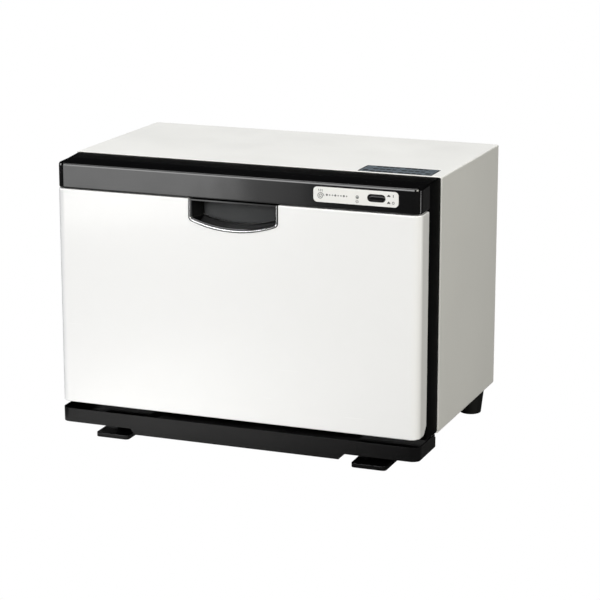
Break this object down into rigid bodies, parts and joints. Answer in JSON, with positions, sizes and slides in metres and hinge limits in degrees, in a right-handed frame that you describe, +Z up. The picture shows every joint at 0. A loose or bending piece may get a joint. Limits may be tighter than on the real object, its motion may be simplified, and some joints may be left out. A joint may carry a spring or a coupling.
{
  "type": "hot towel cabinet",
  "caption": "Countertop hot towel cabinet with a white wrapped casing, black control header, drop-down door with a recessed pull, pull-out drip tray and wire shelf.",
  "frame": {"origin": "on the surface it stands on, under the middle of the cabinet's overall box", "axes": "+X to the user's right when facing the door, +Y towards the back, +Z up"},
  "size_m": [0.45, 0.285, 0.33],
  "materials": {
    "casing_paint": "satin white powder coat, fine orange peel",
    "door_paint": "smooth warm-white gloss enamel",
    "gloss_black": "polished black moulding",
    "tray_black": "black moulding, slightly softer gloss",
    "satin_black": "fine-grained black moulding",
    "rubber_black": "matt black rubber",
    "seal_silicone": "matt dark grey silicone",
    "zinc_steel": "zinc-plated steel",
    "pull_chrome": "bright plated bead",
    "shelf_wire": "bright plated wire",
    "chamber_aluminium": "mill-finish aluminium sheet",
    "panel_white": "satin white moulded plate",
    "liner_white": "smooth white moulding",
    "lamp_lens": "unlit pale lens",
    "label_film": null,
    "insulation_felt": "pale needled felt",
    "heater_foil": "amber film heater mat",
    "electrical": "dark moulded electrical parts",
    "fuse_metal": "nickel-plated can"
  },
  "bodies": {
    "cabinet": {"casing_shell": "casing_paint", "back_panel": "casing_paint", "front_frame": "gloss_black", "control_header": "gloss_black", "switch_housing": "satin_black", "front_foot_left": "satin_black", "front_foot_right": "satin_black", "cord_gland": "rubber_black", "rear_foot_left": "rubber_black", "rear_foot_right": "rubber_black", "door_seal": "seal_silicone", "base_plate": "zinc_steel", "back_screw_left_lower": "zinc_steel", "back_screw_left_upper": "zinc_steel", "back_screw_right_lower": "zinc_steel", "back_screw_right_upper": "zinc_steel", "front_foot_screw_left": "zinc_steel", "front_foot_screw_right": "zinc_steel", "rear_foot_screw_left": "zinc_steel", "rear_foot_screw_right": "zinc_steel", "hinge_bracket_left": "zinc_steel", "hinge_bracket_right": "zinc_steel", "magnet_catch_left": "zinc_steel", "magnet_catch_right": "zinc_steel", "tray_runner_left": "zinc_steel", "tray_runner_right": "zinc_steel", "chamber": "chamber_aluminium", "shelf_rail_left": "chamber_aluminium", "shelf_rail_right": "chamber_aluminium", "control_panel": "panel_white", "power_lamp": "lamp_lens", "info_label": "label_film", "insulation_left": "insulation_felt", "insulation_right": "insulation_felt", "insulation_top": "insulation_felt", "insulation_bottom": "insulation_felt", "insulation_back": "insulation_felt", "heater_left": "heater_foil", "heater_right": "heater_foil", "heater_bottom": "heater_foil", "thermostat": "electrical", "terminal_block": "electrical", "thermal_fuse": "fuse_metal"},
    "door": {"door_panel": "door_paint", "door_liner": "liner_white", "door_insulation": "insulation_felt", "handle_cup": "gloss_black", "handle_trim": "pull_chrome", "hinge_block_left": "satin_black", "hinge_block_right": "satin_black", "hinge_pin_left": "zinc_steel", "hinge_pin_right": "zinc_steel", "strike_plate_left": "zinc_steel", "strike_plate_right": "zinc_steel"},
    "tray": {"drip_tray": "tray_black"},
    "shelf": {"wire_shelf": "shelf_wire"},
    "rocker": {"switch_rocker": "gloss_black"}
  },
  "joints": [
    {"name": "door_hinge", "type": "hinge", "parent": "cabinet", "child": "door", "pos_m": [0, -0.1235, 0.055], "axis": [1, 0, 0], "range_deg": [0, 90]},
    {"name": "tray_slide", "type": "slide", "parent": "cabinet", "child": "tray", "axis": [0, -1, 0], "range_m": [0, 0.06]},
    {"name": "shelf_slide", "type": "slide", "parent": "cabinet", "child": "shelf", "axis": [0, -1, 0], "range_m": [0, 0.045]},
    {"name": "power_switch", "type": "hinge", "parent": "cabinet", "child": "rocker", "pos_m": [0.17, -0.1372, 0.3138], "axis": [-1, 0, 0], "range_deg": [0, 10]}
  ]
}
